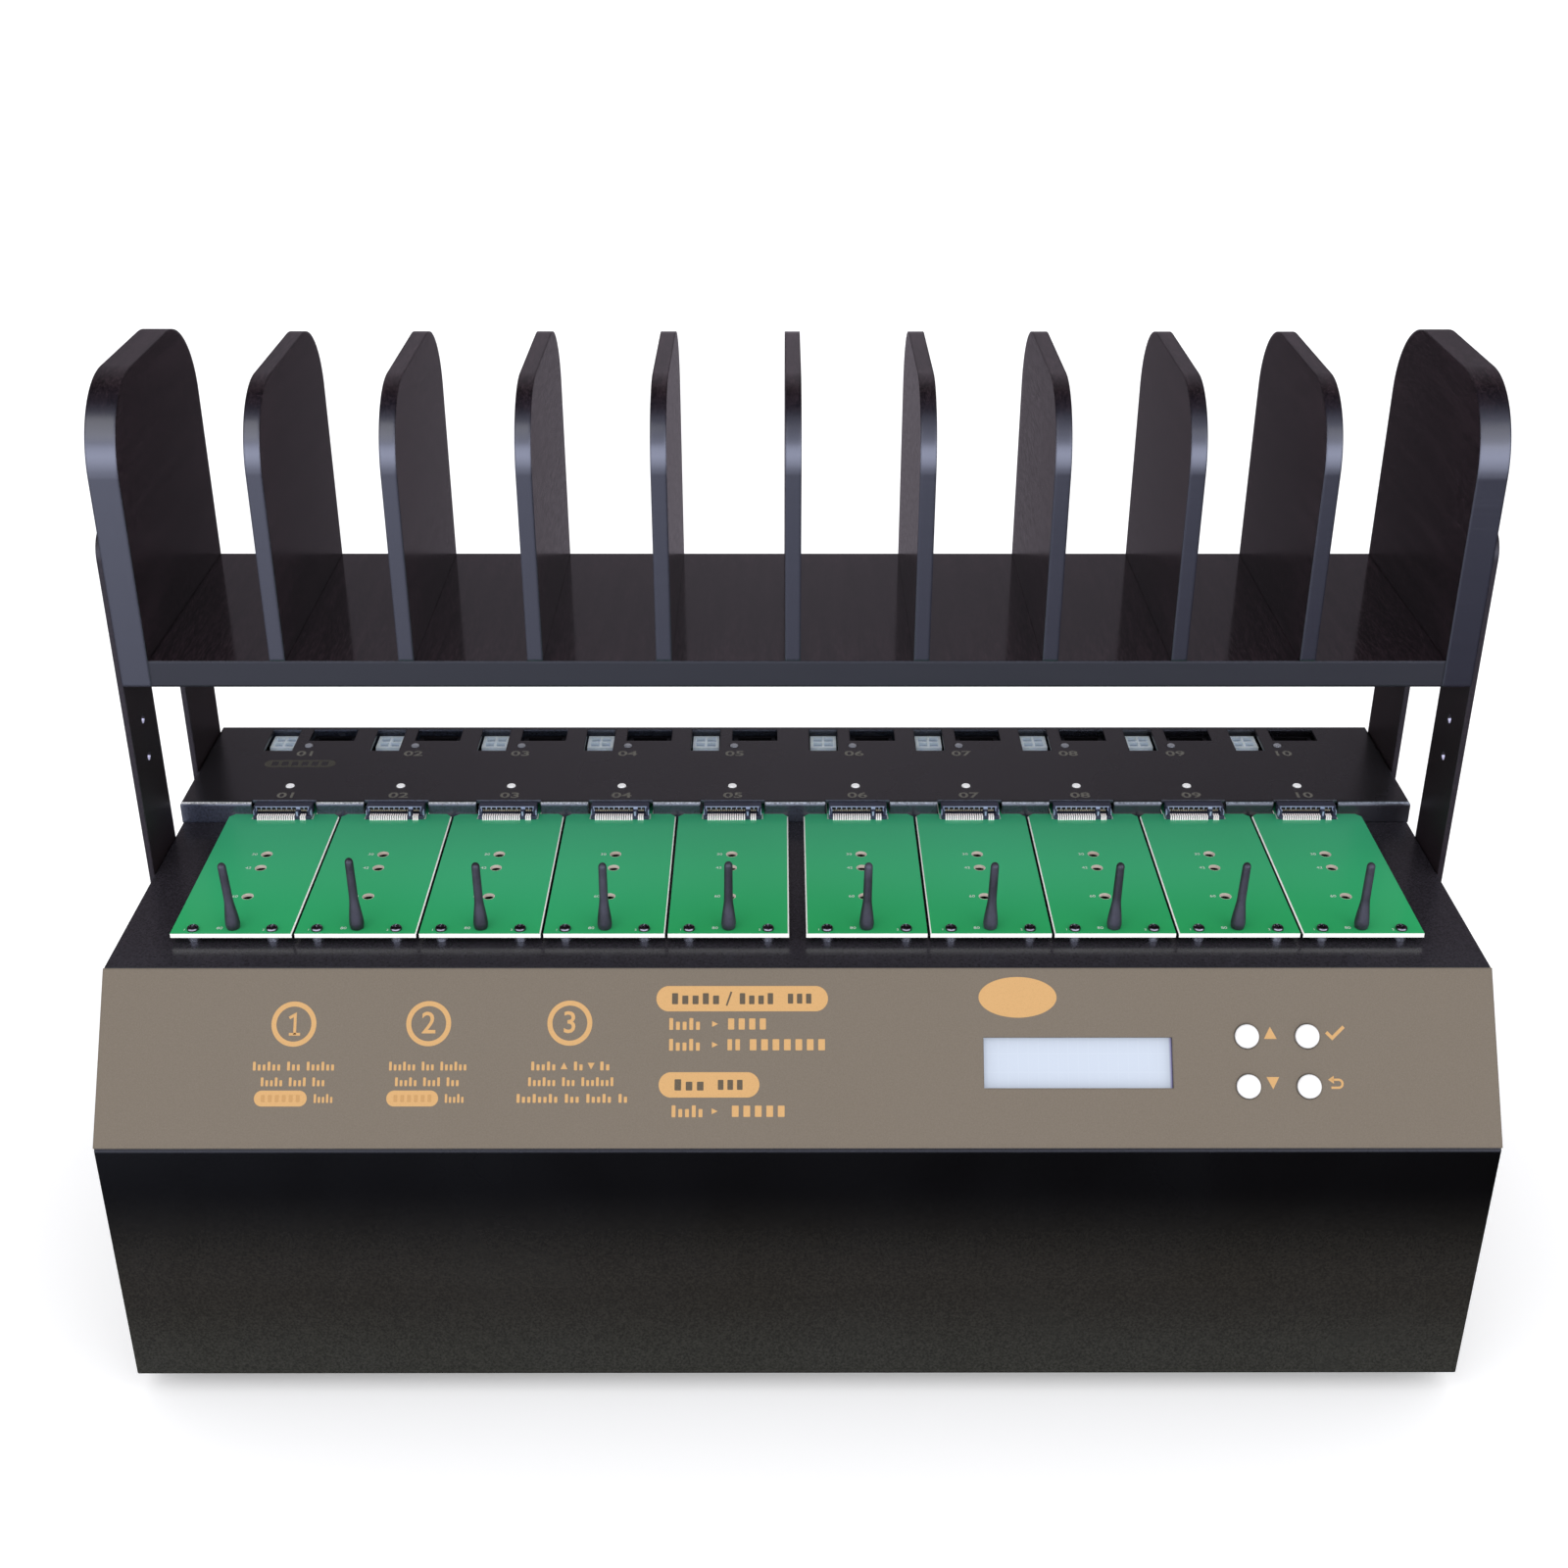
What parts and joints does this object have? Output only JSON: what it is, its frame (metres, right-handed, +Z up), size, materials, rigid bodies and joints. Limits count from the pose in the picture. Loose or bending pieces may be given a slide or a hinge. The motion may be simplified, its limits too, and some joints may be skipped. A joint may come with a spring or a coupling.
{
  "type": "drive duplicator",
  "caption": "Desktop drive duplicator: steel base with sloped control panel, upright-post adapter boards on its deck and a divided drive rack above.",
  "frame": {"origin": "on the floor under the middle of the outline", "axes": "+Z up, front with the control panel towards -Y, +X to the right of someone facing it"},
  "size_m": [0.468, 0.2052, 0.3307],
  "materials": {
    "black_steel": "fine-textured black powder coat, semi-gloss",
    "printed_panel": "taupe printed overlay with amber markings, matt",
    "display_bezel": "black display bezel, satin",
    "display_glass": "pale blue unlit character display, glossy",
    "green_board": "green solder mask over glass epoxy, glossy",
    "plated_steel": "zinc plated, satin",
    "black_plastic": "moulded black nylon, satin",
    "natural_nylon": "natural translucent nylon",
    "light_lens": "clear resin light, glossy",
    "black_screw": "black zinc, semi-gloss",
    "black_rubber": "soft black rubber, matt",
    "stained_wood": "black-stained fibreboard, satin",
    "white_button": "white moulded caps, glossy",
    "socket_plastic": "dark socket plastic with tinned contacts"
  },
  "bodies": {
    "base": {"case_cover": "black_steel", "base_tray": "black_steel", "rear_housing": "black_steel", "bracket_left": "black_steel", "bracket_right": "black_steel", "control_overlay": "printed_panel", "display_frame": "display_bezel", "display_glass": "display_glass", "key_board": "green_board", "main_board": "green_board", "port_board": "green_board", "power_supply": "plated_steel", "power_inlet": "black_plastic", "fan_frame": "black_plastic", "data_sockets": "black_plastic", "power_headers": "natural_nylon", "channel_lights": "light_lens", "board_standoffs": "plated_steel", "board_screws": "black_screw", "rack_screws": "black_screw", "rubber_feet": "black_rubber", "rack_shelf": "stained_wood", "rack_side_left": "stained_wood", "rack_side_right": "stained_wood", "drive_sockets": "socket_plastic", "adapter_board_01": "green_board", "adapter_board_02": "green_board", "adapter_board_03": "green_board", "adapter_board_04": "green_board", "adapter_board_05": "green_board", "adapter_board_06": "green_board", "adapter_board_07": "green_board", "adapter_board_08": "green_board", "adapter_board_09": "green_board", "adapter_board_10": "green_board", "rack_divider_1": "stained_wood", "rack_divider_2": "stained_wood", "rack_divider_3": "stained_wood", "rack_divider_4": "stained_wood", "rack_divider_5": "stained_wood", "rack_divider_6": "stained_wood", "rack_divider_7": "stained_wood", "rack_divider_8": "stained_wood", "rack_divider_9": "stained_wood"},
    "retaining_post_01": {"retaining_post_01": "black_rubber"},
    "retaining_post_02": {"retaining_post_02": "black_rubber"},
    "retaining_post_03": {"retaining_post_03": "black_rubber"},
    "retaining_post_04": {"retaining_post_04": "black_rubber"},
    "retaining_post_05": {"retaining_post_05": "black_rubber"},
    "retaining_post_06": {"retaining_post_06": "black_rubber"},
    "retaining_post_07": {"retaining_post_07": "black_rubber"},
    "retaining_post_08": {"retaining_post_08": "black_rubber"},
    "retaining_post_09": {"retaining_post_09": "black_rubber"},
    "retaining_post_10": {"retaining_post_10": "black_rubber"},
    "button_up": {"button_up": "white_button"},
    "button_down": {"button_down": "white_button"},
    "button_accept": {"button_accept": "white_button"},
    "button_back": {"button_back": "white_button"},
    "power_rocker": {"power_rocker": "black_plastic"},
    "fan_rotor": {"fan_rotor": "black_plastic"}
  },
  "joints": [
    {"name": "button_up_press", "type": "slide", "parent": "base", "child": "button_up", "axis": [0, 0.7959, -0.6054], "range_m": [0, 0.0006], "stiffness_N_per_m": 800, "springref_m": -0.0005},
    {"name": "button_down_press", "type": "slide", "parent": "base", "child": "button_down", "axis": [0, 0.7959, -0.6054], "range_m": [0, 0.0006], "stiffness_N_per_m": 800, "springref_m": -0.0005},
    {"name": "button_accept_press", "type": "slide", "parent": "base", "child": "button_accept", "axis": [0, 0.7959, -0.6054], "range_m": [0, 0.0006], "stiffness_N_per_m": 800, "springref_m": -0.0005},
    {"name": "button_back_press", "type": "slide", "parent": "base", "child": "button_back", "axis": [0, 0.7959, -0.6054], "range_m": [0, 0.0006], "stiffness_N_per_m": 800, "springref_m": -0.0005},
    {"name": "power_rocker_tip", "type": "hinge", "parent": "base", "child": "power_rocker", "pos_m": [0.15, 0.0959, 0.095], "axis": [1, 0, 0], "range_deg": [-18, 0]},
    {"name": "fan_spin", "type": "hinge", "parent": "base", "child": "fan_rotor", "pos_m": [-0.12, 0.0869, 0.076], "axis": [0, 1, 0], "continuous": true},
    {"name": "retaining_post_01_pull", "type": "slide", "parent": "base", "child": "retaining_post_01", "axis": [0, 0, 1], "range_m": [0, 0.012]},
    {"name": "retaining_post_02_pull", "type": "slide", "parent": "base", "child": "retaining_post_02", "axis": [0, 0, 1], "range_m": [0, 0.012]},
    {"name": "retaining_post_03_pull", "type": "slide", "parent": "base", "child": "retaining_post_03", "axis": [0, 0, 1], "range_m": [0, 0.012]},
    {"name": "retaining_post_04_pull", "type": "slide", "parent": "base", "child": "retaining_post_04", "axis": [0, 0, 1], "range_m": [0, 0.012]},
    {"name": "retaining_post_05_pull", "type": "slide", "parent": "base", "child": "retaining_post_05", "axis": [0, 0, 1], "range_m": [0, 0.012]},
    {"name": "retaining_post_06_pull", "type": "slide", "parent": "base", "child": "retaining_post_06", "axis": [0, 0, 1], "range_m": [0, 0.012]},
    {"name": "retaining_post_07_pull", "type": "slide", "parent": "base", "child": "retaining_post_07", "axis": [0, 0, 1], "range_m": [0, 0.012]},
    {"name": "retaining_post_08_pull", "type": "slide", "parent": "base", "child": "retaining_post_08", "axis": [0, 0, 1], "range_m": [0, 0.012]},
    {"name": "retaining_post_09_pull", "type": "slide", "parent": "base", "child": "retaining_post_09", "axis": [0, 0, 1], "range_m": [0, 0.012]},
    {"name": "retaining_post_10_pull", "type": "slide", "parent": "base", "child": "retaining_post_10", "axis": [0, 0, 1], "range_m": [0, 0.012]}
  ]
}
